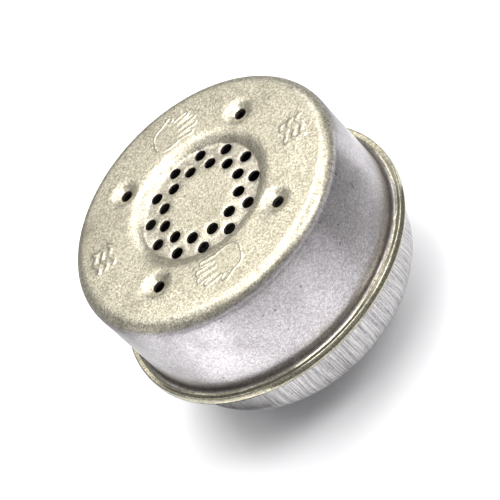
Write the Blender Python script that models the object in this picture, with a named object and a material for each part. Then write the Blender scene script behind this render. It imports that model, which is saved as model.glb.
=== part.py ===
"""Round two-shell exhaust silencer with a perforated outlet face, modelled as a bench assembly.

The part stands on the end of its inlet nipple. Z runs up the one common axis, from the nipple's end
plane at z = 0 to the front face, so the origin is the centre of the part's underside.

Every stamped piece is one sheet of constant thickness, turned about Z. Pieces that touch on the real
object stand a hair apart here (GAP), so each stays a solid of its own.
"""
import math

import bmesh
import bpy
from mathutils import Matrix, Vector

MM = 0.001

# Sheet metal
SHEET = 0.8 * MM            # thickness of every stamped piece
GAP = 0.3 * MM              # clearance between pieces that touch

# Driving heights above the nipple's end plane
FACE_Z = 63.5 * MM          # flat ring of the front face
RECESS_DEPTH = 2.1 * MM     # how far the perforated disc lies below that ring
SEAM_BASE_Z = 30.0 * MM     # underside of the folded seam
REAR_Z = 12.5 * MM          # flat rear face

# Driving radii
SEAM_RADIUS = 44.45 * MM    # outside of the fold, the widest place on the part
CAN_RADIUS = 41.1 * MM      # outside of the front shell's wall
DISH_RADIUS = 39.1 * MM     # outside of the rear shell's wall
SHOULDER_RADIUS = 4.9 * MM  # draw radius between the face and the wall
DISH_CORNER = 7.6 * MM      # draw radius between the rear face and the wall
FILLET = 1.0 * MM           # bend radius where a wall turns out into its flange
FOLD_EDGE_RADIUS = 42.2 * MM  # raw edge of the rear shell's rim, folded back over the flange

# Perforated disc in the front face
RECESS_FOOT_RADIUS = 19.0 * MM
RECESS_TOP_RADIUS = 21.3 * MM
RECESS_FOOT_BEND = 2.5 * MM
RECESS_TOP_BEND = 4.0 * MM
VENTS_PER_RING = 12
VENT_RADIUS = 1.8 * MM
INNER_VENT_CIRCLE = 12.1 * MM
OUTER_VENT_CIRCLE = 16.4 * MM

# Four dimples with a pierced hole, for self-tapping screws
DIMPLES = 4
DIMPLE_CIRCLE = 27.25 * MM
DIMPLE_MOUTH = 4.7 * MM
DIMPLE_FLOOR = 2.3 * MM
DIMPLE_DEPTH = 1.9 * MM
SCREW_HOLE_RADIUS = 1.6 * MM

# Inlet nipple, a half-inch tapered pipe thread
NIPPLE_RADIUS = 10.67 * MM
NIPPLE_TIP_RADIUS = 10.3 * MM
NIPPLE_BORE = 7.9 * MM
NIPPLE_CHAMFER = 0.6 * MM
THREAD_END_Z = 9.0 * MM
NIPPLE_TOP_Z = 17.5 * MM
WELD_LEG = 2.6 * MM
DOUBLER_RADIUS = 21.0 * MM

# Perforated cup over the nipple's inner end
CUP_RADIUS = 13.2 * MM
CUP_TOP_Z = 28.0 * MM
CUP_FLANGE_RADIUS = 17.5 * MM
CUP_HOLE_RADIUS = 1.75 * MM
CUP_HOLE_ROWS = (19.6 * MM, 23.9 * MM)
CUP_HOLES_PER_ROW = 8
TACK_WELDS = 4
TACK_RADIUS = 1.1 * MM
TACK_HEIGHT = 0.8 * MM

# Partition between the two chambers
BAFFLE_LIP_Z = 36.5 * MM
BAFFLE_RISE = 4.0 * MM
BAFFLE_CROWN_RADIUS = 20.0 * MM
BAFFLE_FOOT_RADIUS = 24.0 * MM
BAFFLE_BEND = 2.0 * MM
BAFFLE_HOLES = 12
BAFFLE_HOLE_RADIUS = 2.8 * MM
BAFFLE_HOLE_CIRCLE = 30.5 * MM

# Facets
TURN_STEPS = 48
HOLE_STEPS = 12
DIMPLE_STEPS = 20
TIGHT_BEND_STEPS = 2
BEND_STEPS = 3
WIDE_BEND_STEPS = 5
SHARP_ANGLE = math.radians(35)
SAME_PLACE = 0.001 * MM     # two points closer than this are one


def clear_scene():
    """Remove every object, so that the file holds only this part."""
    for old in list(bpy.data.objects):
        bpy.data.objects.remove(old, do_unlink=True)


def material(name, colour, roughness, metallic=1.0):
    """A Principled material with one colour, roughness and metallic value."""
    made = bpy.data.materials.new(name)
    made.use_nodes = True
    shader = made.node_tree.nodes["Principled BSDF"]
    shader.inputs["Base Color"].default_value = (*colour, 1.0)
    shader.inputs["Roughness"].default_value = roughness
    shader.inputs["Metallic"].default_value = metallic
    return made


def bend(before, corner, after, radius, steps):
    """Points of the arc of this radius that rounds one corner of an outline in the (r, z) plane."""
    into = (corner - before).normalized()
    out = (after - corner).normalized()
    turn = into.angle_signed(out)
    setback = radius * math.tan(abs(turn) / 2)
    inward = Vector((-into.y, into.x)) * (1 if turn < 0 else -1)
    centre = corner - into * setback + inward * radius
    spoke = -inward * radius
    points = []
    for step in range(steps + 1):
        angle = turn * step / steps
        cosine, sine = math.cos(angle), math.sin(angle)
        # angle_signed is positive clockwise
        points.append(centre + Vector((
            spoke.x * cosine + spoke.y * sine,
            spoke.y * cosine - spoke.x * sine)))
    return points


def rounded(*corners):
    """An outline through (r, z) corners; a corner given as (r, z, radius, steps) is rounded."""
    places = [Vector(corner[:2]) for corner in corners]
    outline = []
    for index, corner in enumerate(corners):
        if len(corner) == 2:
            outline.append(places[index])
        else:
            arc = bend(places[index - 1], places[index], places[index + 1], corner[2], corner[3])
            if (arc[0] - outline[-1]).length < SAME_PLACE:
                arc = arc[1:]
            outline += arc
    return outline


def sheet(path, side):
    """A closed outline of SHEET thickness beside a path: side +1 thickens to its left, -1 to its right."""
    offset = []
    for index, point in enumerate(path):
        normals = []
        for start, end in ((index - 1, index), (index, index + 1)):
            if start >= 0 and end < len(path):
                along = (path[end] - path[start]).normalized()
                normals.append(Vector((-along.y, along.x)) * side)
        mitre = sum(normals, Vector((0, 0))).normalized()
        offset.append(point + mitre * (SHEET / mitre.dot(normals[0])))
    return list(path) + offset[::-1]


def lathe_mesh(name, outline, steps=TURN_STEPS):
    """Spin a closed (r, z) outline about Z into one closed mesh."""
    work = bmesh.new()
    verts = [work.verts.new((max(point[0], 0.0), 0.0, point[1])) for point in outline]
    edges = [work.edges.new((verts[index - 1], verts[index])) for index in range(len(verts))
             if verts[index - 1].co.x > 0 or verts[index].co.x > 0]
    bmesh.ops.spin(work, geom=verts + edges, cent=(0, 0, 0), axis=(0, 0, 1),
                   angle=math.tau, steps=steps, use_merge=True)
    bmesh.ops.remove_doubles(work, verts=work.verts, dist=SAME_PLACE)
    bmesh.ops.recalc_face_normals(work, faces=work.faces)
    mesh = bpy.data.meshes.new(name)
    work.to_mesh(mesh)
    work.free()
    return mesh


def ring_of(mesh_name, single, places):
    """One mesh that holds a copy of a small mesh at each of the given matrices."""
    work = bmesh.new()
    for place in places:
        first = len(work.verts)
        work.from_mesh(single)
        work.verts.ensure_lookup_table()
        bmesh.ops.transform(work, matrix=place, verts=work.verts[first:])
    mesh = bpy.data.meshes.new(mesh_name)
    work.to_mesh(mesh)
    work.free()
    return mesh


def around(count, radius, height, first_angle=0.0):
    """Matrices of places evenly spaced on a circle about Z."""
    places = []
    for index in range(count):
        angle = first_angle + math.tau * index / count
        places.append(Matrix.Rotation(angle, 4, "Z") @ Matrix.Translation((radius, 0, height)))
    return places


def finish(mesh, steel):
    """Give a mesh its material and shade it smooth between its sharp edges."""
    mesh.materials.append(steel)
    mesh.shade_smooth()
    mesh.set_sharp_from_angle(angle=SHARP_ANGLE)
    return mesh


def add(name, mesh, parent):
    """Put one named sub-part in the scene."""
    piece = bpy.data.objects.new(name, mesh)
    bpy.context.scene.collection.objects.link(piece)
    piece.parent = parent
    return piece


def add_cutter(name, mesh, parent):
    """A guide shape that only serves a Boolean and isn't part of the object."""
    cutter = add(name, mesh, parent)
    cutter.hide_render = True
    cutter.display_type = "WIRE"
    return cutter


def combine(piece, other, operation):
    """Join or cut a piece with another mesh object."""
    step = piece.modifiers.new(operation.title(), "BOOLEAN")
    step.operation = operation
    step.solver = "EXACT"
    step.object = other


def rod_mesh(name, radius, low, high):
    """A plain round bar along Z between two heights, for cutting holes."""
    return lathe_mesh(name, [(0, low), (radius, low), (radius, high), (0, high)], HOLE_STEPS)


def dimple_meshes():
    """The pan of one dimple, and the hollow above it with its pierced hole, about the dimple's own axis."""
    wall = Vector((DIMPLE_MOUTH - DIMPLE_FLOOR, DIMPLE_DEPTH)).normalized()
    skin = Vector((wall.y, -wall.x)) * SHEET

    def on_wall(height, shift):
        start = Vector((DIMPLE_FLOOR, -DIMPLE_DEPTH)) + shift
        return start.x + (height - start.y) * wall.x / wall.y

    inside_sheet = -SHEET / 2
    pan_floor = -DIMPLE_DEPTH - SHEET
    above = 2 * SHEET
    pan = [
        (0, inside_sheet),
        (0, pan_floor),
        (on_wall(pan_floor, skin), pan_floor),
        (on_wall(inside_sheet, skin), inside_sheet),
    ]
    hollow = [
        (0, above),
        (0, pan_floor - SHEET),
        (SCREW_HOLE_RADIUS, pan_floor - SHEET),
        (SCREW_HOLE_RADIUS, -DIMPLE_DEPTH),
        (DIMPLE_FLOOR, -DIMPLE_DEPTH),
        (on_wall(above, Vector((0, 0))), above),
    ]
    return lathe_mesh("dimple_pan", pan, DIMPLE_STEPS), lathe_mesh("dimple_hollow", hollow, DIMPLE_STEPS)


def front_shell(root):
    """Drawn can: perforated disc, face, shoulder, wall, and the flange that the seam holds."""
    floor_z = FACE_Z - RECESS_DEPTH
    flange_top = SEAM_BASE_Z + 2 * SHEET + GAP
    flange_radius = SEAM_RADIUS - SHEET - GAP
    path = rounded(
        (0, floor_z),
        (RECESS_FOOT_RADIUS, floor_z, RECESS_FOOT_BEND, TIGHT_BEND_STEPS),
        (RECESS_TOP_RADIUS, FACE_Z, RECESS_TOP_BEND, BEND_STEPS),
        (CAN_RADIUS, FACE_Z, SHOULDER_RADIUS, WIDE_BEND_STEPS),
        (CAN_RADIUS, flange_top, FILLET, TIGHT_BEND_STEPS),
        (flange_radius, flange_top),
    )
    steel = material("front_sheet", (0.52, 0.50, 0.44), 0.42)
    shell = add("front_shell", finish(lathe_mesh("front_shell", sheet(path, -1)), steel), root)

    pan, hollow = dimple_meshes()
    spots = around(DIMPLES, DIMPLE_CIRCLE, FACE_Z)
    # The pans are turned half a facet, so that no corner of the hollow lands on an edge of its pan.
    half_facet = Matrix.Rotation(math.pi / DIMPLE_STEPS, 4, "Z")
    pans = ring_of("dimple_pans", pan, [spot @ half_facet for spot in spots])
    combine(shell, add_cutter("dimple_pans", pans, root), "UNION")
    combine(shell, add_cutter("dimple_hollows", ring_of("dimple_hollows", hollow, spots), root), "DIFFERENCE")

    half_step = math.pi / VENTS_PER_RING
    vent = rod_mesh("vent", VENT_RADIUS, -2 * SHEET, SHEET)
    vents = around(VENTS_PER_RING, OUTER_VENT_CIRCLE, floor_z)
    vents += around(VENTS_PER_RING, INNER_VENT_CIRCLE, floor_z, half_step)
    combine(shell, add_cutter("vent_holes", ring_of("vent_holes", vent, vents), root), "DIFFERENCE")


def rear_shell(root):
    """Drawn dish whose rim is folded back over the front shell's flange."""
    fold_top = SEAM_BASE_Z + 3 * SHEET + 2 * GAP
    fold_bend = (fold_top - SEAM_BASE_Z) / 2
    path = rounded(
        (NIPPLE_RADIUS + GAP, REAR_Z),
        (DISH_RADIUS, REAR_Z, DISH_CORNER, WIDE_BEND_STEPS),
        (DISH_RADIUS, SEAM_BASE_Z, FILLET, TIGHT_BEND_STEPS),
        (SEAM_RADIUS, SEAM_BASE_Z, fold_bend, BEND_STEPS),
        (SEAM_RADIUS, fold_top, fold_bend, BEND_STEPS),
        (FOLD_EDGE_RADIUS, fold_top),
    )
    steel = material("rear_sheet", (0.47, 0.47, 0.46), 0.38)
    add("rear_shell", finish(lathe_mesh("rear_shell", sheet(path, 1)), steel), root)


def baffle_plate(root):
    """Partition pan pressed into the front shell, standing on the rear shell's flange."""
    foot_z = SEAM_BASE_Z + SHEET + GAP
    lip_radius = CAN_RADIUS - SHEET - GAP
    path = rounded(
        (0, foot_z + BAFFLE_RISE),
        (BAFFLE_CROWN_RADIUS, foot_z + BAFFLE_RISE, BAFFLE_BEND, TIGHT_BEND_STEPS),
        (BAFFLE_FOOT_RADIUS, foot_z, BAFFLE_BEND, TIGHT_BEND_STEPS),
        (lip_radius, foot_z, BAFFLE_BEND, TIGHT_BEND_STEPS),
        (lip_radius, BAFFLE_LIP_Z),
    )
    steel = material("baffle_sheet", (0.42, 0.41, 0.39), 0.5)
    plate = add("baffle_plate", finish(lathe_mesh("baffle_plate", sheet(path, 1)), steel), root)
    hole = rod_mesh("baffle_hole", BAFFLE_HOLE_RADIUS, -SHEET, 2 * SHEET)
    holes = ring_of("baffle_holes", hole, around(BAFFLE_HOLES, BAFFLE_HOLE_CIRCLE, foot_z))
    combine(plate, add_cutter("baffle_holes", holes, root), "DIFFERENCE")


def inlet_nipple(root):
    """Male pipe nipple: a tapered thread envelope outside, a plain tube inside the rear shell."""
    outline = [
        (NIPPLE_BORE, 0),
        (NIPPLE_TIP_RADIUS - NIPPLE_CHAMFER, 0),
        (NIPPLE_TIP_RADIUS, NIPPLE_CHAMFER),
        (NIPPLE_RADIUS, THREAD_END_Z),
        (NIPPLE_RADIUS, NIPPLE_TOP_Z),
        (NIPPLE_BORE, NIPPLE_TOP_Z),
    ]
    steel = material("nipple_steel", (0.38, 0.37, 0.36), 0.35)
    add("inlet_nipple", finish(lathe_mesh("inlet_nipple", outline), steel), root)


def nipple_weld(root):
    """Fillet bead that joins the nipple to the rear face, outside."""
    inner = NIPPLE_RADIUS + GAP
    top = REAR_Z - GAP
    bulge = WELD_LEG * 0.62
    outline = [
        (inner, top),
        (inner, top - WELD_LEG),
        (inner + bulge, top - bulge),
        (inner + WELD_LEG, top),
    ]
    steel = material("weld_metal", (0.33, 0.32, 0.31), 0.45)
    add("nipple_weld", finish(lathe_mesh("nipple_weld", outline), steel), root)


def inlet_doubler(root):
    """Stiffening washer inside the rear face, round the nipple."""
    low = REAR_Z + SHEET + GAP
    inner = NIPPLE_RADIUS + GAP
    outline = [(inner, low), (DOUBLER_RADIUS, low), (DOUBLER_RADIUS, low + SHEET), (inner, low + SHEET)]
    steel = material("doubler_sheet", (0.45, 0.44, 0.42), 0.45)
    add("inlet_doubler", finish(lathe_mesh("inlet_doubler", outline), steel), root)


def diffuser_cup(root):
    """Cup over the nipple's inner end; the gas leaves it sideways through two rows of holes."""
    flange_top = REAR_Z + 3 * SHEET + 2 * GAP
    path = rounded(
        (0, CUP_TOP_Z),
        (CUP_RADIUS, CUP_TOP_Z, BAFFLE_BEND, TIGHT_BEND_STEPS),
        (CUP_RADIUS, flange_top, FILLET, TIGHT_BEND_STEPS),
        (CUP_FLANGE_RADIUS, flange_top),
    )
    steel = material("cup_sheet", (0.40, 0.39, 0.38), 0.5)
    cup = add("diffuser_cup", finish(lathe_mesh("diffuser_cup", sheet(path, -1)), steel), root)
    hole = rod_mesh("cup_hole", CUP_HOLE_RADIUS, CUP_RADIUS - 2 * SHEET, CUP_RADIUS + SHEET)
    places = []
    for row, height in enumerate(CUP_HOLE_ROWS):
        first = row * math.pi / CUP_HOLES_PER_ROW
        for spot in around(CUP_HOLES_PER_ROW, 0, height, first):
            places.append(spot @ Matrix.Rotation(math.pi / 2, 4, "Y"))
    holes = add_cutter("cup_holes", ring_of("cup_holes", hole, places), root)
    combine(cup, holes, "DIFFERENCE")


def tack_welds(root):
    """Four weld beads on the doubler, against the edge of the cup's flange."""
    base = REAR_Z + 2 * SHEET + 2 * GAP
    dome = [(0, 0)]
    for step in range(BEND_STEPS):
        angle = step / BEND_STEPS * math.pi / 2
        dome.append((TACK_RADIUS * math.cos(angle), TACK_HEIGHT * math.sin(angle)))
    dome.append((0, TACK_HEIGHT))
    bead = lathe_mesh("tack_bead", dome, HOLE_STEPS)
    spots = around(TACK_WELDS, CUP_FLANGE_RADIUS + GAP + TACK_RADIUS, base)
    steel = material("tack_metal", (0.32, 0.31, 0.30), 0.45)
    finish(bead, steel)
    for number, spot in enumerate(spots, 1):
        add(f"tack_weld_{number}", bead, root).matrix_world = spot


def main():
    clear_scene()
    root = bpy.data.objects.new("silencer", None)
    bpy.context.scene.collection.objects.link(root)
    front_shell(root)
    rear_shell(root)
    baffle_plate(root)
    inlet_nipple(root)
    nipple_weld(root)
    inlet_doubler(root)
    diffuser_cup(root)
    tack_welds(root)


main()
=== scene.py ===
"""Looks of the round exhaust silencer: fine meshes, metal finishes, floor, light and camera.

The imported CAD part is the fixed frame. Z runs up the part's axis from the inlet nipple to the
perforated front face, and lengths are in metres. Stamped pieces are turned about Z from an outline in
the (r, z) plane; the front face is a relief, a height over every (x, y).
"""

import math

import bmesh
import bpy
import numpy as np
from mathutils import Matrix, Vector
from mathutils.geometry import delaunay_2d_cdt


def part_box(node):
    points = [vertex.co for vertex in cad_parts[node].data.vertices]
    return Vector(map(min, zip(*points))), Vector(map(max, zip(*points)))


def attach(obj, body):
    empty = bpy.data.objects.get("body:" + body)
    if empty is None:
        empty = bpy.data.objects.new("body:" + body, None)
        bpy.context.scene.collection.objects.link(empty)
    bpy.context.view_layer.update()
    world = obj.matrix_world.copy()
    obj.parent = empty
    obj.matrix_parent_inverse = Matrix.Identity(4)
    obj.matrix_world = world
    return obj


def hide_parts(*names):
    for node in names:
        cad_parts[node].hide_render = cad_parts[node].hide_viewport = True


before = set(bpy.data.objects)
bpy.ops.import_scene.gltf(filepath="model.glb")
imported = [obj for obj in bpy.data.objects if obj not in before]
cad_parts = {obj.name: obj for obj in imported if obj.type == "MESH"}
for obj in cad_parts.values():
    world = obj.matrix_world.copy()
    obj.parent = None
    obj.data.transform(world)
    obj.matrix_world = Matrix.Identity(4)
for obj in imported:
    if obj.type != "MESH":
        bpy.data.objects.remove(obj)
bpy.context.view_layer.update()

MM = 0.001
TAU = math.tau

# Places read from the frame
FRONT_LOW, FRONT_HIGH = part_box("front_shell")
REAR_LOW, REAR_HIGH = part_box("rear_shell")
NIPPLE_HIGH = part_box("inlet_nipple")[1]
WELD_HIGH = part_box("nipple_weld")[1]
SIGN_RISE = 0.20 * MM            # the raised signs' tops are the part's highest points
FACE_Z = FRONT_HIGH.z - SIGN_RISE
FLANGE_BASE_Z = FRONT_LOW.z
FLANGE_RADIUS = FRONT_HIGH.x
REAR_Z = REAR_LOW.z
FOLD_TOP_Z = REAR_HIGH.z
SEAM_RADIUS = REAR_HIGH.x

# The front shell
SHEET = 0.8 * MM
CAN_RADIUS = 41.1 * MM
SHOULDER_BEND = 4.0 * MM
FLANGE_FILLET = 1.15 * MM
FACE_EDGE = CAN_RADIUS - SHOULDER_BEND
CROWN_START = 25.0 * MM          # the face rolls off gently from here to the shoulder
CROWN_DROP = 0.22 * MM
RECESS_DEPTH = 2.1 * MM
RECESS_FOOT = 18.4 * MM
RECESS_RIM = 23.2 * MM
RECESS_BLEND = 0.30 * MM         # rounding of the crossing between the recess's slope and its disc
SLOPE_POWER = 2.4                # how hollow the slope is: 1 would be straight
SLOPE_LIMIT = 1.25               # the slope stops falling here, as a share of the way to its foot
DOME_START = 7.5 * MM            # the sunk disc falls gently from here to the recess's foot
DOME_DROP = 0.50 * MM
VENT_RADIUS = 1.8 * MM
INNER_VENT_CIRCLE = 12.1 * MM
OUTER_VENT_CIRCLE = 16.4 * MM
VENTS_PER_RING = 12
PUNCH_ROLL_DEPTH = 0.13 * MM     # how far a punched hole's rim is drawn in
PUNCH_ROLL_WIDTH = 0.48 * MM
DIMPLE_COUNT = 4
DIMPLE_CIRCLE = 27.25 * MM
DIMPLE_MOUTH = 3.9 * MM
DIMPLE_DEPTH = 1.4 * MM
DIMPLE_BLEND = 0.8 * MM          # rounding of a dimple's mouth
SCREW_HOLE_RADIUS = 1.75 * MM

# Hand-scale waver of the wall: waves in a turn, start, twist per metre of height, swing in mm
WALL_WAVES = ((3, 0.7, 0, 0.030), (7, 0.0, 90, 0.022), (17, 1.9, 140, 0.012))
WAVER_FADE = 9 * MM              # the waver grows from nothing at the face to its full swing this far down

# The rear shell
DISH_RADIUS = 39.1 * MM
DISH_CORNER_BEND = 7.6 * MM
DISH_FILLET = 1.0 * MM
SEAM_BASE_Z = FLANGE_BASE_Z - SHEET - 0.3 * MM
ROLL_FOOT_BEND = 1.35 * MM
ROLL_SHOULDER = 1.40 * MM        # height up to which the roll's outside is upright
ROLL_SHOULDER_BEND = 0.50 * MM
ROLL_LEAN = 0.30 * MM            # how far it leans in from there to its top
ROLL_CORNER = 0.42 * MM
FOLD_DISHING = 0.30 * MM         # how far the fold falls from its outer roll towards its raw edge
FOLD_EDGE_RADIUS = 42.2 * MM
FOLD_UNDER_Z = FLANGE_BASE_Z + SHEET + 0.06 * MM
BURR_HEIGHT = 0.25 * MM
BURR_FOOT = 0.60 * MM            # distance of the burr's foot, and then of its crest, from the raw edge
BURR_CREST = 0.14 * MM

# Unevenness of the fold's raw edge: waves in a turn, start, swing in mm
EDGE_WAVES = ((5, 0.4, 0.10), (13, 2.0, 0.07), (31, 0.0, 0.04), (67, 1.0, 0.03))
# Single jogs of that edge: angle, width in radians, shift in mm
EDGE_JOGS = ((-0.30, 0.05, -0.30), (-1.225, 0.022, -0.34), (2.2, 0.06, -0.25), (0.9, 0.04, 0.2))
EDGE_REACH = 0.9 * MM            # the unevenness fades out over this width, inside the outer roll
ROLL_WIDTH = 1.0 * MM

# The inlet nipple and its weld
NIPPLE_BORE = 7.9 * MM
NIPPLE_TIP_RADIUS = 10.3 * MM
BORE_CHAMFER = 0.35 * MM
TIP_CHAMFER = 0.7 * MM
THREAD_PITCH = 1.814 * MM
THREAD_DEPTH = 1.1 * MM
THREAD_FLAT = 0.08               # share of the pitch's half that is flat at the root and at the crest
THREAD_TOP_Z = 9.2 * MM
THREAD_RUNOUT = 2.0 * MM
THREAD_ROW = 0.115               # height between rows of vertices, in mm
PLAIN_ROWS = (10.0, 12.0, 15.0)  # heights of the rows above the thread, in mm
WELD_INNER_RADIUS = NIPPLE_HIGH.x + 0.3 * MM
WELD_STEPS = 8
WELD_BULGE = 1.25                # 1 would be a quarter round, and 2 a flat bevel
RIPPLES = 46
RIPPLE_DEPTH = 0.528 * MM
RIPPLE_LEAN = 2.2                # how far a ripple lags from one edge of the bead to the other, in radians

# Longest steps along an outline
FRONT_STEP = 2.0 * MM
FRONT_INSIDE_STEP = 6.0 * MM
REAR_STEP = 1.6 * MM
REAR_INSIDE_STEP = 4.0 * MM

# Vertices in a turn
FACE_TURN = 240
HOLE_TURN = 48
REAR_TURN = 480
NIPPLE_TURN = 144
WELD_TURN = 288

# Mesh density of the face's outside, and of its inside, which has no signs. The hole rings are
# distances from a hole's edge, and a dimple's rings start at a distance from its hole's edge.
FINE = {
    "hole_rings": (0.12 * MM, 0.26 * MM, 0.42 * MM, 0.62 * MM, 0.86 * MM), "hole_margin": 1.1 * MM,
    "slope_step": 0.3 * MM, "slope_points": 300,
    "dimple_start": 1.15 * MM, "dimple_step": 0.33 * MM, "dimple_points": 64,
    "net": 0.95 * MM, "sign_net": 0.19 * MM,
}
COARSE = {
    "hole_rings": (), "hole_margin": 0.9 * MM,
    "slope_step": 0.9 * MM, "slope_points": 120,
    "dimple_start": 1.0 * MM, "dimple_step": 0.8 * MM, "dimple_points": 28,
    "net": 1.9 * MM, "sign_net": None,
}
FLAT_SIGN_SHARE = 7              # one in so many of a sign's points is kept where the sign is flat
FLAT_SIGN_RISE = 0.0005 * MM

# Where each set of the face's free points starts and ends, so that it stays clear of the next
SLOPE_FROM = RECESS_FOOT - 0.3 * MM
SLOPE_TO = RECESS_RIM + 0.4 * MM
SLOPE_FROM_DIMPLE = 0.65 * MM
DIMPLE_TO = DIMPLE_MOUTH + 0.6 * MM
NET_FROM_DIMPLE = 0.75 * MM
DISC_NET_TO = RECESS_FOOT - 0.55 * MM
FACE_NET_FROM = RECESS_RIM + 0.75 * MM
SIGN_NET_FROM = RECESS_RIM + 0.55 * MM
SIGN_NET_TO = FACE_EDGE - 0.2 * MM


def clear_of_defaults():
    """Remove what a new Blender file holds."""
    for name in ("Cube", "Light", "Camera"):
        stray = bpy.data.objects.get(name)
        if stray is not None:
            bpy.data.objects.remove(stray, do_unlink=True)


# ---------------------------------------------------------------- outlines and turned meshes

def bend(before, corner, after, radius, steps):
    """Points of the arc of this radius that rounds one corner of an outline."""
    into = (corner - before).normalized()
    out = (after - corner).normalized()
    turn = into.angle_signed(out)
    setback = radius * math.tan(abs(turn) / 2)
    inward = Vector((-into.y, into.x)) * (1 if turn < 0 else -1)
    centre = corner - into * setback + inward * radius
    spoke = -inward * radius
    points = []
    for step in range(steps + 1):
        angle = turn * step / steps
        cosine, sine = math.cos(angle), math.sin(angle)
        points.append(centre + Vector((spoke.x * cosine + spoke.y * sine,
                                       spoke.y * cosine - spoke.x * sine)))
    return points


def rounded(*corners):
    """An outline through (r, z) corners; a corner given as (r, z, radius, steps) is rounded."""
    places = [Vector(corner[:2]) for corner in corners]
    outline = []
    for index, corner in enumerate(corners):
        if len(corner) == 2:
            outline.append(places[index])
        else:
            arc = bend(places[index - 1], places[index], places[index + 1], corner[2], corner[3])
            if outline and (arc[0] - outline[-1]).length < 1e-6:
                arc = arc[1:]
            outline += arc
    return outline


def beside(path, side):
    """The path moved sideways by a sheet's thickness: side +1 to its left, -1 to its right."""
    moved = []
    for index, point in enumerate(path):
        normals = []
        for start, end in ((index - 1, index), (index, index + 1)):
            if start >= 0 and end < len(path):
                along = (path[end] - path[start]).normalized()
                normals.append(Vector((-along.y, along.x)) * side)
        mitre = sum(normals, Vector((0, 0))).normalized()
        moved.append(point + mitre * (SHEET / mitre.dot(normals[0])))
    return moved


def finely(path, longest):
    """The path with its long stretches divided, so that no step is longer than given."""
    points = [path[0]]
    for start, end in zip(path, path[1:]):
        pieces = max(1, math.ceil((end - start).length / longest))
        points += [start.lerp(end, step / pieces) for step in range(1, pieces + 1)]
    return points


def ring_grid(work, points, steps, shift=None):
    """Rings of vertices about Z for each (r, z) point; shift(angle, r, z) may move each one."""
    rings = []
    for radius, height in points:
        ring = []
        for step in range(steps):
            angle = TAU * step / steps
            r, z = (radius, height) if shift is None else shift(angle, radius, height)
            ring.append(work.verts.new((r * math.cos(angle), r * math.sin(angle), z)))
        rings.append(ring)
    return rings


def skin(work, lower, upper):
    """Faces between two rings with the same number of vertices."""
    count = len(lower)
    for step in range(count):
        after = (step + 1) % count
        work.faces.new((lower[step], lower[after], upper[after], upper[step]))


def turned(work, outline, steps, shift):
    """Turn a closed outline about Z into one closed, ring-shaped body."""
    rings = ring_grid(work, outline, steps, shift)
    for lower, upper in zip(rings, rings[1:] + rings[:1]):
        skin(work, lower, upper)


def piece_from(work, node, metal, sharp):
    """Make a smooth-shaded mesh object from a bmesh, and enter it with the frame in a node's place."""
    bmesh.ops.recalc_face_normals(work, faces=work.faces)
    mesh = bpy.data.meshes.new(node + "_fine")
    work.to_mesh(mesh)
    work.free()
    mesh.shade_smooth()
    mesh.set_sharp_from_angle(angle=math.radians(sharp))
    piece = bpy.data.objects.new(node + "_fine", mesh)
    bpy.context.scene.collection.objects.link(piece)
    mesh.materials.append(metal)
    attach(piece, "root")
    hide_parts(node)
    return piece


# ---------------------------------------------------------------- the front face's relief

def circle_centres(count, circle, first=0.0):
    """Centres of holes spread evenly round a circle; first is the first one's place in steps."""
    angles = [TAU * (index + first) / count for index in range(count)]
    return [(circle * math.cos(angle), circle * math.sin(angle)) for angle in angles]


# Round places on the face: x, y and radius
VENTS = [(x, y, VENT_RADIUS) for x, y in circle_centres(VENTS_PER_RING, OUTER_VENT_CIRCLE)]
VENTS += [(x, y, VENT_RADIUS) for x, y in circle_centres(VENTS_PER_RING, INNER_VENT_CIRCLE, 0.5)]
DIMPLES = [(x, y, DIMPLE_MOUTH) for x, y in circle_centres(DIMPLE_COUNT, DIMPLE_CIRCLE)]
HOLES = VENTS + [(x, y, SCREW_HOLE_RADIUS) for x, y, _ in DIMPLES]


def smooth(value):
    """0 below 0, 1 above 1, and an even S between."""
    value = np.clip(value, 0.0, 1.0)
    return value * value * value * (value * (6 * value - 15) + 10)


def softly_less(a, b, blend):
    """The lesser of two depths, their crossing rounded over the given blend."""
    near = np.clip(0.5 + 0.5 * (b - a) / blend, 0, 1)
    return b * (1 - near) + a * near - blend * near * (1 - near)


def recess_depth(r):
    """Depth of the sunk part: a domed disc, a tight foot, and a slope that eases out to the rim."""
    rise = np.clip((RECESS_RIM - r) / (RECESS_RIM - RECESS_FOOT), 0, SLOPE_LIMIT)
    slope = RECESS_DEPTH * rise ** SLOPE_POWER
    disc = RECESS_DEPTH - DOME_DROP * (1 - smooth((r - DOME_START) / (RECESS_FOOT - DOME_START)))
    return softly_less(slope, disc, RECESS_BLEND) * (rise > 0)


def dimple_depth(away):
    """Depth of a screw dimple: a cone with a softly rounded mouth."""
    cone = DIMPLE_DEPTH * (DIMPLE_MOUTH - away) / (DIMPLE_MOUTH - SCREW_HOLE_RADIUS)
    near = np.clip(0.5 + 0.5 * cone / DIMPLE_BLEND, 0, 1)
    return cone * near + DIMPLE_BLEND * near * (1 - near)


def pressed_height(x, y):
    """Height of the stamped face without its fine marks: crown, sunk disc and four dimples."""
    r = np.hypot(x, y)
    depth = recess_depth(r)
    depth = depth + CROWN_DROP * np.clip((r - CROWN_START) / (FACE_EDGE - CROWN_START), 0, None) ** 2
    for cx, cy, _ in DIMPLES:
        depth = depth + dimple_depth(np.hypot(x - cx, y - cy))
    return FACE_Z - depth


def to_segment(u, v, start, end):
    """Distance of every (u, v) from a straight stroke."""
    along = np.subtract(end, start)
    t = ((u - start[0]) * along[0] + (v - start[1]) * along[1]) / max(along @ along, 1e-18)
    t = np.clip(t, 0, 1)
    return np.hypot(u - start[0] - t * along[0], v - start[1] - t * along[1])


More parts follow.
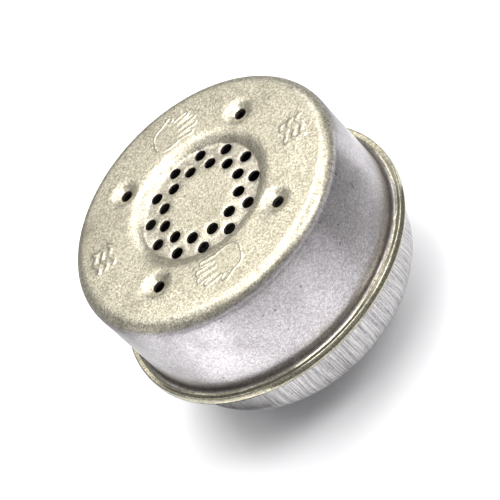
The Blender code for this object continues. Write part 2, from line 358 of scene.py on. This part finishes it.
# A generic open palm: (start, end, half width) of each rounded stroke, in mm, fingers towards +v
PALM_STROKES = (
    ((-1.1, -3.4), (1.3, -3.6), 3.3),
    ((-1.3, -1.6), (1.6, -1.6), 2.9),
    ((-3.0, 1.2), (-3.5, 4.6), 0.85),
    ((-0.9, 1.4), (-1.1, 6.3), 0.88),
    ((1.2, 1.4), (1.3, 6.0), 0.88),
    ((3.2, 0.8), (3.7, 4.4), 0.82),
    ((-3.2, -3.6), (-5.3, -0.4), 0.95),
)
PALM_FILL = 0.045 * MM
PALM_EDGE = 0.5 * MM             # width over which the filled palm falls off
PALM_BEAD = SIGN_RISE - PALM_FILL
PALM_BEAD_WIDTH = 0.22 * MM

# A generic heat sign: rounded wavy strokes side by side
WAVE_STROKES = 3
WAVE_SPACING = 2.5 * MM
WAVE_LENGTH = 7.4 * MM
WAVE_TURNS = 1.5
WAVE_SWING = 0.55 * MM
WAVE_HALF_WIDTH = 0.62 * MM
WAVE_SEGMENTS = 14


def palm_relief(u, v):
    """Raised height of the palm sign, with a bead along its outline."""
    inside = np.full(u.shape, np.inf)
    for start, end, half in PALM_STROKES:
        away = to_segment(u, v, np.multiply(start, MM), np.multiply(end, MM)) - half * MM
        inside = np.minimum(inside, away)
    fill = PALM_FILL * (1 - smooth(inside / PALM_EDGE + 0.5))
    bead = PALM_BEAD * np.exp(-(inside / PALM_BEAD_WIDTH) ** 2)
    return fill + bead


def wave_relief(u, v):
    """Raised height of the heat sign."""
    away = np.full(u.shape, np.inf)
    steps = [step / WAVE_SEGMENTS for step in range(WAVE_SEGMENTS + 1)]
    for index in range(WAVE_STROKES):
        offset = (index - (WAVE_STROKES - 1) / 2) * WAVE_SPACING
        line = [(offset + WAVE_SWING * math.sin(TAU * WAVE_TURNS * t), (t - 0.5) * WAVE_LENGTH)
                for t in steps]
        for start, end in zip(line, line[1:]):
            away = np.minimum(away, to_segment(u, v, np.array(start), np.array(end)))
    return SIGN_RISE * np.sqrt(np.clip(1 - (away / WAVE_HALF_WIDTH) ** 2, 0, 1))


# Signs on the face: relief, radius and angle of its centre, reach
SIGNS = (
    (palm_relief, 28.0 * MM, math.radians(43.6), 9.0 * MM),
    (palm_relief, 27.6 * MM, math.radians(222.6), 9.0 * MM),
    (wave_relief, 31.0 * MM, math.radians(-46.6), 6.0 * MM),
    (wave_relief, 31.0 * MM, math.radians(132.4), 6.0 * MM),
)


def sign_frame(x, y, radius, angle):
    """Coordinates about a sign's centre: v runs clockwise along the circle, u points inward."""
    cx, cy = radius * math.cos(angle), radius * math.sin(angle)
    u = -((x - cx) * math.cos(angle) + (y - cy) * math.sin(angle))
    v = (x - cx) * math.sin(angle) - (y - cy) * math.cos(angle)
    return u, v


def relief_height(x, y):
    """Height of the finished face: pressed shape, raised signs and the drawn-in rims of the vents."""
    z = pressed_height(x, y)
    for relief, radius, angle, reach in SIGNS:
        u, v = sign_frame(x, y, radius, angle)
        near = np.hypot(u, v) < reach
        z[near] += relief(u[near], v[near])
    for cx, cy, radius in VENTS:
        away = np.clip(np.hypot(x - cx, y - cy) - radius, 0, None)
        near = away < 4 * PUNCH_ROLL_WIDTH
        z[near] -= PUNCH_ROLL_DEPTH * np.exp(-(away[near] / PUNCH_ROLL_WIDTH) ** 2)
    return z


def inside_height(x, y):
    """Height of the inner surface of the face, a sheet's thickness below the pressed shape."""
    step = 0.02 * MM
    z = pressed_height(x, y)
    slope_x = (pressed_height(x + step, y) - z) / step
    slope_y = (pressed_height(x, y + step) - z) / step
    return z - SHEET * np.sqrt(1 + slope_x ** 2 + slope_y ** 2)


# ---------------------------------------------------------------- the front face's mesh

def circle_points(cx, cy, radius, count, phase=0.0):
    """Points spread evenly round a circle; phase is the first one's place in steps."""
    angles = (np.arange(count) + phase) * TAU / count
    return np.column_stack([cx + radius * np.cos(angles), cy + radius * np.sin(angles)])


def hexagonal(low, high, spacing):
    """Points of a hexagonal net over a square."""
    rows = []
    for index, y in enumerate(np.arange(low, high, spacing * math.sqrt(3) / 2)):
        along = np.arange(low + (index % 2) * spacing / 2, high, spacing)
        rows.append(np.column_stack([along, np.full(len(along), y)]))
    return np.concatenate(rows)


def outside(points, circles, margin):
    """True for each point that is further than the margin outside every (x, y, radius) circle."""
    keep = np.ones(len(points), bool)
    for cx, cy, radius in circles:
        keep &= np.hypot(points[:, 0] - cx, points[:, 1] - cy) > radius + margin
    return keep


def hole_points(density):
    """Rings of points close round every hole."""
    rings = []
    for cx, cy, hole in HOLES:
        for index, step in enumerate(density["hole_rings"]):
            rings.append(circle_points(cx, cy, hole + step, HOLE_TURN, 0.5 * (index % 2 == 0)))
    return rings


def slope_points(density):
    """Rings of points on the slope of the recess, clear of the holes and the dimples."""
    rings = []
    for index, radius in enumerate(np.arange(SLOPE_FROM, SLOPE_TO, density["slope_step"])):
        rings.append(circle_points(0, 0, radius, density["slope_points"], 0.5 * (index % 2)))
    points = np.concatenate(rings)
    clear = outside(points, DIMPLES, SLOPE_FROM_DIMPLE) & outside(points, HOLES, density["hole_margin"])
    return [points[clear]]


def dimple_points(density):
    """Rings of points in every dimple."""
    rings = []
    radii = np.arange(SCREW_HOLE_RADIUS + density["dimple_start"], DIMPLE_TO, density["dimple_step"])
    for cx, cy, _ in DIMPLES:
        for index, radius in enumerate(radii):
            rings.append(circle_points(cx, cy, radius, density["dimple_points"], 0.5 * (index % 2)))
    return rings


def sign_points(density):
    """Points of a close net over every sign, thinned out where the sign is flat."""
    nets = []
    for relief, radius, angle, reach in SIGNS:
        cosine, sine = math.cos(angle), math.sin(angle)
        net = hexagonal(-reach, reach, density["sign_net"]) @ np.array([[cosine, sine], [-sine, cosine]])
        net = net + (radius * cosine, radius * sine)
        r = np.hypot(net[:, 0], net[:, 1])
        u, v = sign_frame(net[:, 0], net[:, 1], radius, angle)
        body = (np.hypot(u, v) < reach) & (r > SIGN_NET_FROM) & (r < SIGN_NET_TO)
        wanted = relief(u, v) > FLAT_SIGN_RISE
        wanted[::FLAT_SIGN_SHARE] = True
        nets.append(net[body & wanted & outside(net, DIMPLES, NET_FROM_DIMPLE)])
    return nets


def plain_points(density):
    """Points of an even net over the rest of the face."""
    net = hexagonal(-FACE_EDGE, FACE_EDGE, density["net"])
    r = np.hypot(net[:, 0], net[:, 1])
    keep = (r < FACE_EDGE - 0.4 * density["net"]) & outside(net, HOLES, density["hole_margin"])
    keep &= outside(net, DIMPLES, NET_FROM_DIMPLE)
    keep &= (r < DISC_NET_TO) | (r > FACE_NET_FROM)
    if density["sign_net"]:
        for _, radius, angle, reach in SIGNS:
            u, v = sign_frame(net[:, 0], net[:, 1], radius, angle)
            keep &= np.hypot(u, v) > reach
    return [net[keep]]


def face_sheet(work, height, density):
    """One triangulated surface of the face, open at the holes and the edge.

    Returns its edge ring and, for each hole, the ring of vertices round it.
    """
    loops = [circle_points(0, 0, FACE_EDGE, FACE_TURN)]
    loops += [circle_points(cx, cy, hole, HOLE_TURN) for cx, cy, hole in HOLES]
    free = hole_points(density) + slope_points(density) + dimple_points(density)
    if density["sign_net"]:
        free += sign_points(density)
    flat = np.concatenate(loops + free + plain_points(density))

    starts = np.cumsum([0] + [len(loop) for loop in loops])
    edges = [(int(start) + i, int(start) + (i + 1) % len(loop))
             for start, loop in zip(starts, loops) for i in range(len(loop))]
    in_mm = [Vector(point) for point in flat / MM]
    verts, _, faces, origins, _, _ = delaunay_2d_cdt(in_mm, edges, [], 0, 1e-7)

    place = np.array([tuple(vert) for vert in verts]) * MM
    z = height(place[:, 0].copy(), place[:, 1].copy())
    new = [work.verts.new((p[0], p[1], h)) for p, h in zip(place, z)]
    centres = np.array([place[list(face)].mean(0) for face in faces])
    for face, solid in zip(faces, outside(centres, HOLES, 0.0)):
        if solid:
            work.faces.new([new[i] for i in face])

    found = {origin: index for index, ids in enumerate(origins) for origin in ids}
    rings = [[new[found[start + i]] for i in range(len(loop))] for start, loop in zip(starts, loops)]
    return rings[0], rings[1:]


def wavering(angle, radius, height):
    """Hand-scale unevenness of a drawn wall, under a tenth of a millimetre and never outward."""
    swing = sum(size * math.sin(count * angle + start + twist * height)
                for count, start, twist, size in WALL_WAVES)
    most = sum(size for *_, size in WALL_WAVES)
    share = min(1.0, max(0.0, (FACE_Z - height) / WAVER_FADE))
    return radius + (swing - most) * MM * share, height


def hundredths(x, y):
    """A place rounded to a hundredth of a millimetre, so that it can be compared."""
    return round(x / MM * 100), round(y / MM * 100)


def crease_holes(mesh):
    """Keep the punched holes' edges crisp in the smooth shading."""
    rims = {hundredths(x, y) for cx, cy, hole in HOLES for x, y in circle_points(cx, cy, hole, HOLE_TURN)}
    for edge in mesh.edges:
        ends = [mesh.vertices[index].co for index in edge.vertices]
        on_rim = all(hundredths(end.x, end.y) in rims for end in ends)
        if on_rim and (ends[0] - ends[1]).xy.length > 1e-6:
            edge.use_edge_sharp = True


def front_shell(metal):
    """Drawn can with its relief face, closed all round: face, wall and flange, outside and inside."""
    work = bmesh.new()
    outer_rim, outer_holes = face_sheet(work, relief_height, FINE)
    inner_rim, inner_holes = face_sheet(work, inside_height, COARSE)
    for outer, inner in zip(outer_holes, inner_holes):
        skin(work, inner, outer)

    # The shoulder's bend starts at the face's edge, tangent to the crowned face.
    flange_top = FLANGE_BASE_Z + SHEET
    slope = 2 * CROWN_DROP / (FACE_EDGE - CROWN_START)
    edge_z = FACE_Z - CROWN_DROP
    corner_z = edge_z - SHOULDER_BEND * slope
    bend_radius = SHOULDER_BEND / (1 - math.sin(math.atan(slope)))
    lead = 2 * MM
    path = rounded(
        (FACE_EDGE - lead, edge_z + lead * slope),
        (CAN_RADIUS, corner_z, bend_radius, 14),
        (CAN_RADIUS, flange_top, FLANGE_FILLET, 5),
        (FLANGE_RADIUS, flange_top),
    )[1:]
    led_in = [path[0] + Vector((-lead, lead * slope))] + path
    inner_path = finely(beside(led_in, -1)[1:], FRONT_INSIDE_STEP)[1:]
    outer_path = finely(path, FRONT_STEP)[1:]
    outer = [outer_rim] + ring_grid(work, outer_path, FACE_TURN, wavering)
    inner = [inner_rim] + ring_grid(work, inner_path, FACE_TURN)
    for rings in (outer, inner):
        for lower, upper in zip(rings, rings[1:]):
            skin(work, lower, upper)
    skin(work, outer[-1], inner[-1])
    crease_holes(piece_from(work, "front_shell", metal, sharp=50).data)


# ---------------------------------------------------------------- the other visible pieces

def ragged(angle, radius, height):
    """The rear shell's shape as turned, but its fold's raw edge runs unevenly."""
    if height <= SEAM_BASE_Z + SHEET + 0.2 * MM:
        return radius, height
    uneven = sum(size * math.sin(count * angle + start) for count, start, size in EDGE_WAVES)
    for centre, width, jog in EDGE_JOGS:
        gap = (angle - centre + math.pi) % TAU - math.pi
        uneven += jog * math.exp(-(gap / width) ** 2)
    share = min(1.0, max(0.0, (SEAM_RADIUS - ROLL_WIDTH - radius) / EDGE_REACH))
    return radius + uneven * share * MM, height


def rear_shell(metal):
    """Drawn dish, its rim rolled back over the front shell's flange."""
    dish = (
        (WELD_INNER_RADIUS, REAR_Z),
        (DISH_RADIUS, REAR_Z, DISH_CORNER_BEND, 16),
        (DISH_RADIUS, SEAM_BASE_Z, DISH_FILLET, 5),
        (SEAM_RADIUS, SEAM_BASE_Z, ROLL_FOOT_BEND, 8),
    )
    valley = FOLD_TOP_Z - FOLD_DISHING
    edge = FOLD_EDGE_RADIUS
    fold_outside = (
        (SEAM_RADIUS, SEAM_BASE_Z + ROLL_SHOULDER, ROLL_SHOULDER_BEND, 4),
        (SEAM_RADIUS - ROLL_LEAN, FOLD_TOP_Z, ROLL_CORNER, 5),
        (edge + BURR_FOOT, valley, 0.25 * MM, 3),
        (edge + BURR_CREST, valley + BURR_HEIGHT, 0.07 * MM, 3),
        (edge, valley + BURR_HEIGHT * 0.7, 0.08 * MM, 3),
        (edge + 0.02 * MM, FOLD_UNDER_Z),
    )
    fold_middle = (
        (SEAM_RADIUS, FOLD_TOP_Z, (FOLD_TOP_Z - SEAM_BASE_Z) / 2, 7),
        (edge + BURR_FOOT, FOLD_TOP_Z),
    )
    outer = finely(rounded(*dish, *fold_outside), REAR_STEP)
    inner = finely(beside(rounded(*dish, *fold_middle), 1), REAR_INSIDE_STEP)
    work = bmesh.new()
    turned(work, outer + inner[::-1], REAR_TURN, ragged)
    piece_from(work, "rear_shell", metal, sharp=50)


def thread(angle, radius, height):
    """Cut the nipple's outside to a tapered right-hand thread that runs out at its top."""
    if radius < NIPPLE_TIP_RADIUS - 1.5 * MM or height > THREAD_TOP_Z:
        return radius, height
    crest = NIPPLE_TIP_RADIUS + (NIPPLE_HIGH.x - NIPPLE_TIP_RADIUS) * min(1.0, height / THREAD_TOP_Z)
    turn = (height / THREAD_PITCH - angle / TAU) % 1.0
    vee = (abs(2 * turn - 1) - THREAD_FLAT) / (1 - 2 * THREAD_FLAT)
    vee = min(1.0, max(0.0, vee))
    runout = min(1.0, max(0.0, (THREAD_TOP_Z - height) / THREAD_RUNOUT))
    chamfer = max(0.0, TIP_CHAMFER - height)
    return min(crest - THREAD_DEPTH * (1 - vee) * runout, crest - chamfer), height


def inlet_nipple(metal):
    """Pipe nipple with its thread cut as a helix."""
    radius, top = NIPPLE_HIGH.x, NIPPLE_HIGH.z
    threaded = np.arange(0.0, THREAD_TOP_Z / MM + 0.001, THREAD_ROW)
    outline = [(radius, z * MM) for z in (*threaded, *PLAIN_ROWS)]
    outline += [(radius, top), (NIPPLE_BORE, top), (NIPPLE_BORE, top * 0.5)]
    outline += [(NIPPLE_BORE, BORE_CHAMFER), (NIPPLE_BORE + BORE_CHAMFER, 0.0)]
    work = bmesh.new()
    turned(work, outline, NIPPLE_TURN, thread)
    piece_from(work, "inlet_nipple", metal, sharp=40)


def nipple_weld(metal):
    """Fillet bead with the ripples of a turned weld."""
    inner, top = WELD_INNER_RADIUS, WELD_HIGH.z
    leg = WELD_HIGH.x - inner
    outline = [(inner, top), (inner, top - leg)]
    for step in range(1, WELD_STEPS):
        angle = step / WELD_STEPS * math.pi / 2
        outline.append((inner + leg * math.sin(angle) ** WELD_BULGE,
                        top - leg * math.cos(angle) ** WELD_BULGE))
    outline.append((inner + leg, top))

    def ripple(angle, r, z):
        """Press the bead's outside in between two ripples."""
        share = (r - inner) * (top - z) / (leg * leg)
        turn = angle * RIPPLES + RIPPLE_LEAN * (r - inner) / leg
        return r - RIPPLE_DEPTH * share * abs(math.sin(turn / 2)), z

    work = bmesh.new()
    turned(work, outline, WELD_TURN, ripple)
    piece_from(work, "nipple_weld", metal, sharp=60)


# ---------------------------------------------------------------- metals

def colour(red, green, blue):
    """A display colour as linear RGBA."""
    return tuple(c / 12.92 if c <= 0.04045 else ((c + 0.055) / 1.055) ** 2.4
                 for c in (red / 255, green / 255, blue / 255)) + (1.0,)


# Clean and dark tone of each coated surface. The face's and the fold's tones are lighter and warmer, as
# painted warm light from above; the wall's and the dish's are darker and greyer, as painted shade.
FACE_TONES_PAINTED_WARM_LIGHT = (colour(235, 229, 209), colour(106, 99, 81))
WALL_TONES_PAINTED_SHADE = (colour(206, 202, 205), colour(128, 123, 124))
FOLD_TONES_PAINTED_WARM_LIGHT = (colour(205, 200, 178), colour(108, 103, 90))
DISH_TONES_PAINTED_SHADE = (colour(168, 166, 169), colour(88, 86, 88))
# A patchy yellow-brown tint, laid in a band just above the front shell's flange
SEAM_BAND_TINT = colour(176, 160, 112)
PIT = colour(84, 76, 66)
SPOT = colour(74, 66, 58)
DRAWN_STREAK = colour(236, 234, 232)
MOTTLE = 0.75                    # how much of the dark tone the finest grain brings in


class Nodes:
    """A short way to write a material's node tree."""

    def __init__(self, name, metallic):
        self.material = bpy.data.materials.new(name)
        self.material.use_nodes = True
        self.tree = self.material.node_tree
        self.shader = self.tree.nodes["Principled BSDF"]
        self.shader.inputs["Metallic"].default_value = metallic

    def link(self, value, socket):
        """Feed a socket from another node's socket, or give it a plain value."""
        if isinstance(value, bpy.types.NodeSocket):
            self.tree.links.new(value, socket)
        else:
            socket.default_value = value

    def shade(self, **sockets):
        """Feed the shader's own sockets."""
        for key, value in sockets.items():
            self.link(value, self.shader.inputs[key.replace("_", " ")])

    def add(self, kind, output=0, **sockets):
        """A node with its inputs fed by name; the result is one of its outputs."""
        node = self.tree.nodes.new(kind)
        for key, value in sockets.items():
            self.link(value, node.inputs[key.replace("_", " ")])
        return node.outputs[output]

    def math(self, operation, a, b=0.0):
        """One step of arithmetic."""
        node = self.tree.nodes.new("ShaderNodeMath")
        node.operation = operation
        self.link(a, node.inputs[0])
        self.link(b, node.inputs[1])
        return node.outputs[0]

    def noise(self, vector, scale, detail=2.0, roughness=0.5):
        """Noise between 0 and 1."""
        return self.add("ShaderNodeTexNoise", Vector=vector, Scale=scale, Detail=detail,
                        Roughness=roughness)

    def between(self, value, low, high, to_low=0.0, to_high=1.0):
        """A smooth step of a value, from to_low at low to to_high at high."""
        node = self.tree.nodes.new("ShaderNodeMapRange")
        node.interpolation_type = "SMOOTHSTEP"
        self.link(value, node.inputs["Value"])
        for key, number in (("From Min", low), ("From Max", high), ("To Min", to_low), ("To Max", to_high)):
            node.inputs[key].default_value = number
        return node.outputs["Result"]

    def mix(self, share, a, b):
        """Colour a turned into colour b by a share."""
        node = self.tree.nodes.new("ShaderNodeMix")
        node.data_type = "RGBA"
        self.link(share, node.inputs["Factor"])
        for key, value in (("A", a), ("B", b)):
            self.link(value, next(s for s in node.inputs if s.name == key and s.type == "RGBA"))
        return next(s for s in node.outputs if s.type == "RGBA")

    def patch(self, base, tone, mask, strength):
        """The base colour with a tone laid over it where the mask is."""
        return self.mix(self.math("MULTIPLY", mask, strength), base, tone)

    def weighted(self, a, share_a, b, share_b):
        """The weighted sum of two values."""
        return self.math("ADD", self.math("MULTIPLY", a, share_a), self.math("MULTIPLY", b, share_b))


def draw_streaks(n, place):
    """Noise stretched along the way that the sheet was drawn."""
    x, y, z = (n.add("ShaderNodeSeparateXYZ", output, Vector=place) for output in range(3))
    radius = n.math("SQRT", n.math("ADD", n.math("MULTIPLY", x, x), n.math("MULTIPLY", y, y)))
    along = n.add("ShaderNodeCombineXYZ", X=n.math("MULTIPLY", n.math("ARCTAN2", y, x), 110.0),
                  Y=n.math("MULTIPLY", z, 90.0), Z=n.math("MULTIPLY", radius, 60.0))
    return n.noise(along, 1.0, 4.0, 0.68)


def sheet_steel(name, upper, lower, zone, rough, streaks=0.0, seam_band=None):
    """Drawn, hot-dip coated sheet: fine mottled grain, soft clouds, small pits and draw streaks.

    upper and lower are tones above and below the zone, a pair of heights that they cross between; the step
    between them is painted light, with painted warm light in the upper tone and painted shade in the lower.
    Only the lower tone is streaked, and above it the coat is smoother. seam_band is the lowest and highest
    height of a patchy yellow-brown band and its strength.
    """
    n = Nodes(name, 0.9)
    place = n.add("ShaderNodeTexCoord", output=3)
    height = n.add("ShaderNodeSeparateXYZ", output=2, Vector=place)
    grain = n.noise(place, 3600.0, 2.0, 0.75)
    speck = n.noise(place, 1300.0, 2.0, 0.6)
    clouds = n.noise(place, 110.0, 4.0, 0.62)
    wide = n.noise(place, 32.0, 2.0, 0.5)
    sparse = n.noise(place, 520.0, 1.0, 0.4)

    # The step from the lower to the upper tone across this zone is painted light: painted warm light above,
    # painted shade below.
    above = n.between(height, *zone)
    base = n.mix(above, lower[0], upper[0])
    dark = n.mix(above, lower[1], upper[1])
    # A patchy yellow-brown band, full at and below its lowest height and gone at its highest
    if seam_band is not None:
        low, high, strength = seam_band
        patchy = n.math("MULTIPLY", n.between(height, high, low), n.between(clouds, 0.30, 0.62))
        base = n.patch(base, SEAM_BAND_TINT, patchy, strength)
    base = n.patch(base, dark, n.between(grain, 0.58, 0.40), MOTTLE)
    base = n.patch(base, dark, n.between(speck, 0.56, 0.40), MOTTLE * 0.6)
    base = n.patch(base, dark, n.between(clouds, 0.46, 0.72), 0.34)
    base = n.patch(base, dark, n.between(wide, 0.42, 0.70), 0.22)
    base = n.patch(base, PIT, n.between(speck, 0.71, 0.76), 0.5)
    base = n.patch(base, SPOT, n.between(sparse, 0.735, 0.77), 0.55)
    uneven = n.weighted(grain, 0.16, clouds, 0.14)
    relief = n.weighted(grain, 0.55, speck, 0.45)
    if streaks:
        streak = draw_streaks(n, place)
        marked = n.math("MULTIPLY", n.between(above, 1.0, 0.0), streaks)
        base = n.patch(base, DRAWN_STREAK, n.between(streak, 0.35, 0.68), marked)
        uneven = n.math("ADD", uneven, n.math("MULTIPLY", above, -0.14))
        relief = n.math("MULTIPLY", relief, n.between(above, 0.0, 1.0, 1.0, 0.2))
        relief = n.math("ADD", relief, n.math("MULTIPLY", n.math("MULTIPLY", streak, marked), 2.2))
    coarse = n.add("ShaderNodeBump", Strength=0.25, Distance=0.25 * MM, Height=wide)
    fine = n.add("ShaderNodeBump", Strength=0.6, Distance=0.06 * MM, Height=relief, Normal=coarse)
    n.shade(Base_Color=base, Roughness=n.math("ADD", uneven, rough - 0.15), Normal=fine)
    return n.material


def plain_steel(name, tone, dark, rough, scale=900.0):
    """Bare steel of the nipple, the welds and the inner pieces: dull, uneven, finely scratched."""
    n = Nodes(name, 1.0)
    place = n.add("ShaderNodeTexCoord", output=3)
    grain = n.noise(place, scale, 3.0, 0.6)
    clouds = n.noise(place, 130.0, 3.0, 0.6)
    base = n.mix(n.between(grain, 0.35, 0.68), dark, tone)
    base = n.patch(base, dark, n.between(clouds, 0.45, 0.7), 0.45)
    n.shade(Base_Color=base, Roughness=n.math("ADD", n.math("MULTIPLY", grain, 0.2), rough - 0.1),
            Normal=n.add("ShaderNodeBump", Strength=0.3, Distance=0.05 * MM, Height=grain))
    return n.material


# ---------------------------------------------------------------- camera and stage

CAMERA_LOOK = math.radians(29.45)       # compass direction of the view, from +Y towards +X
CAMERA_DOWN = math.radians(39.89)       # how steeply the view looks down
CAMERA_ROLL = math.radians(45.54)       # the part's axis leans this far to the left
CAMERA_DISTANCE = 647.4 * MM
CAMERA_AIM = Vector((-0.33 * MM, 0.19 * MM, 37.45 * MM))
CAMERA_LENS = 172.8                     # on the usual 36 mm sensor
FAR = Vector((math.sin(CAMERA_LOOK), math.cos(CAMERA_LOOK), 0))
RIGHT = Vector((math.cos(CAMERA_LOOK), -math.sin(CAMERA_LOOK), 0))

# Directions on the stage are in degrees: 0 is straight behind the part, 90 to the right of the view.
# Soft boxes: direction, angle above the floor, size, power and tone
LAMP_DISTANCE = 1.0
LAMP_AIM = Vector((0, 0, 35 * MM))
WHITE = (1.0, 1.0, 1.0)
WARM = (1.0, 0.97, 0.90)
LAMPS = {
    "overhead": (180, 75, 0.55, 5.0, WHITE),
    "overhead_far": (0, 72, 0.50, 3.2, WHITE),
    "far": (0, 48, 0.38, 0.8, WARM),
    "far_left": (-42, 52, 0.38, 0.7, WHITE),
    "far_right": (40, 38, 0.42, 1.4, WHITE),
    "far_right_high": (45, 62, 0.42, 2.1, WHITE),
    "right": (85, 47, 0.38, 1.9, WHITE),
    "near_right": (130, 40, 0.38, 4.2, WHITE),
    "left": (-88, 52, 0.38, 0.35, WHITE),
    "left_low": (-80, 15, 0.38, 0.38, WHITE),
}

# Bright cards lying on the floor, which the part's wall mirrors: direction, distance, size, power
CARD_Z = 1 * MM
CARDS = {
    "near_card": (174, 90 * MM, 32 * MM, 0.0036),
    "near_left_card": (194, 90 * MM, 32 * MM, 0.0036),
    "left_near_card": (214, 90 * MM, 32 * MM, 0.0036),
    "left_card": (240, 104 * MM, 60 * MM, 0.0205),
    "right_card": (46, 66 * MM, 26 * MM, 0.0024),
}

# Arc-shaped boards on the floor: direction of the middle, angular span, inner and outer radius, grey
BOARD_Z = 0.5 * MM
BOARD_STEPS = 24
BOARDS = {
    "side_board": (115, 58, 81 * MM, 260 * MM, 0.10),
    "far_board": (0, 150, 90 * MM, 1.1, 0.28),
    "near_board": (199, 118, 106 * MM, 200 * MM, 0.03),
    "left_board": (263, 62, 44 * MM, 61 * MM, 0.04),
}


def towards(around):
    """The level direction on the stage at this many degrees."""
    around = math.radians(around)
    return FAR * math.cos(around) + RIGHT * math.sin(around)


def camera():
    """The camera at the photograph's viewing angle."""
    look = FAR * math.cos(CAMERA_DOWN) - Vector((0, 0, math.sin(CAMERA_DOWN)))
    upright = RIGHT.cross(look)
    up = upright * math.cos(CAMERA_ROLL) + RIGHT * math.sin(CAMERA_ROLL)
    turn = Matrix((look.cross(up), up, -look)).transposed()
    data = bpy.data.cameras.new("view")
    data.lens = CAMERA_LENS
    data.clip_start = 0.01
    view = bpy.data.objects.new("view", data)
    bpy.context.scene.collection.objects.link(view)
    view.matrix_world = Matrix.Translation(CAMERA_AIM - look * CAMERA_DISTANCE) @ turn.to_4x4()
    bpy.context.scene.camera = view


def square_lamp(name, size, power):
    """A square area lamp that the camera doesn't see."""
    data = bpy.data.lights.new(name, "AREA")
    data.shape = "SQUARE"
    data.size = size
    data.energy = power
    lamp = bpy.data.objects.new(name, data)
    bpy.context.scene.collection.objects.link(lamp)
    lamp.visible_camera = False
    return lamp


def soft_box(name, around, height, size, power, tone):
    """A soft box that faces the part."""
    height = math.radians(height)
    out = towards(around) * math.cos(height) + Vector((0, 0, math.sin(height)))
    lamp = square_lamp(name, size, power)
    lamp.data.color = tone
    lamp.location = LAMP_AIM + out * LAMP_DISTANCE
    lamp.rotation_euler = (-out).to_track_quat("-Z", "Y").to_euler()


def card(name, around, away, size, power):
    """A small bright card that lies on the floor and faces up."""
    lamp = square_lamp(name, size, power)
    lamp.location = towards(around) * away + Vector((0, 0, CARD_Z))
    lamp.rotation_euler = (math.pi, 0, 0)


def matt(name, shade):
    """A plain matt paint for the stage."""
    paint = bpy.data.materials.new(name)
    paint.use_nodes = True
    shader = paint.node_tree.nodes["Principled BSDF"]
    shader.inputs["Base Color"].default_value = (*shade, 1)
    shader.inputs["Roughness"].default_value = 0.9
    return paint, shader


def floor():
    """A plain pale floor under the part."""
    bpy.ops.mesh.primitive_plane_add(size=3.0, location=(0, 0, 0))
    ground = bpy.context.object
    ground.name = "floor"
    paint, shader = matt("floor_white", (0.93, 0.93, 0.94))
    shader.inputs["Specular IOR Level"].default_value = 0.2
    ground.data.materials.append(paint)


def board(name, around, span, near, far, grey):
    """An arc-shaped board seen only in the part's gloss, as a photographer's flag is."""
    work = bmesh.new()
    rings = []
    for radius in (near, far):
        ring = []
        for step in range(BOARD_STEPS + 1):
            out = towards(around + span * (step / BOARD_STEPS - 0.5)) * radius
            ring.append(work.verts.new((out.x, out.y, BOARD_Z)))
        rings.append(ring)
    inner, outer = rings
    for step in range(BOARD_STEPS):
        work.faces.new((inner[step], inner[step + 1], outer[step + 1], outer[step]))
    mesh = bpy.data.meshes.new(name)
    work.to_mesh(mesh)
    work.free()
    mesh.materials.append(matt(name + "_grey", (grey, grey, grey))[0])
    sheet = bpy.data.objects.new(name, mesh)
    bpy.context.scene.collection.objects.link(sheet)
    sheet.visible_camera = sheet.visible_diffuse = sheet.visible_shadow = False


def surround():
    """A grey studio all round, a little darker on the camera's side."""
    world = bpy.data.worlds.new("studio")
    bpy.context.scene.world = world
    world.use_nodes = True
    tree = world.node_tree
    background = tree.nodes["Background"]
    background.inputs["Color"].default_value = (0.97, 0.98, 1.0, 1)
    direction = tree.nodes.new("ShaderNodeTexCoord")
    nearness = tree.nodes.new("ShaderNodeVectorMath")
    nearness.operation = "DOT_PRODUCT"
    nearness.inputs[1].default_value = -FAR
    fall = tree.nodes.new("ShaderNodeMapRange")
    for key, number in (("From Min", 0.1), ("From Max", 0.9), ("To Min", 0.36), ("To Max", 0.26)):
        fall.inputs[key].default_value = number
    tree.links.new(direction.outputs["Generated"], nearness.inputs[0])
    tree.links.new(nearness.outputs["Value"], fall.inputs["Value"])
    tree.links.new(fall.outputs["Result"], background.inputs["Strength"])


def stage():
    """Camera, floor, boards and light."""
    camera()
    floor()
    for name, place in BOARDS.items():
        board(name, *place)
    surround()
    for name, place in LAMPS.items():
        soft_box(name, *place)
    for name, place in CARDS.items():
        card(name, *place)
    bpy.context.scene.view_settings.view_transform = "Standard"


def part():
    """The visible pieces, and better metals for the CAD nodes that stay."""
    # The face's and the fold's tones carry painted warm light, the wall's and the dish's painted shade.
    front = sheet_steel("front_sheet_coat_painted_light", FACE_TONES_PAINTED_WARM_LIGHT, WALL_TONES_PAINTED_SHADE, rough=0.35,
                        zone=(FACE_Z - 3.4 * MM, FACE_Z - 1.6 * MM),
                        seam_band=(FLANGE_BASE_Z + 1.0 * MM, FLANGE_BASE_Z + 4 * MM, 0.25))
    rear = sheet_steel("rear_sheet_coat_painted_light", FOLD_TONES_PAINTED_WARM_LIGHT, DISH_TONES_PAINTED_SHADE, rough=0.32, streaks=0.6,
                       zone=(SEAM_BASE_Z - 0.6 * MM, SEAM_BASE_Z + 0.6 * MM))
    bare = plain_steel("nipple_bare", colour(190, 186, 180), colour(120, 115, 110), 0.38)
    weld = plain_steel("weld_bare", colour(150, 146, 140), colour(88, 82, 78), 0.5, 500.0)
    # The inner pieces' darker tone is partly scaled bare steel and partly painted shade, so that the vent
    # holes look dark
    dull = plain_steel("inner_scaled_painted_shade", colour(120, 116, 110), colour(70, 67, 64), 0.55)
    front_shell(front)
    rear_shell(rear)
    inlet_nipple(bare)
    nipple_weld(weld)
    for name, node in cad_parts.items():
        if not node.hide_render:
            node.material_slots[0].material = weld if name.startswith("tack") else dull


clear_of_defaults()
stage()
part()
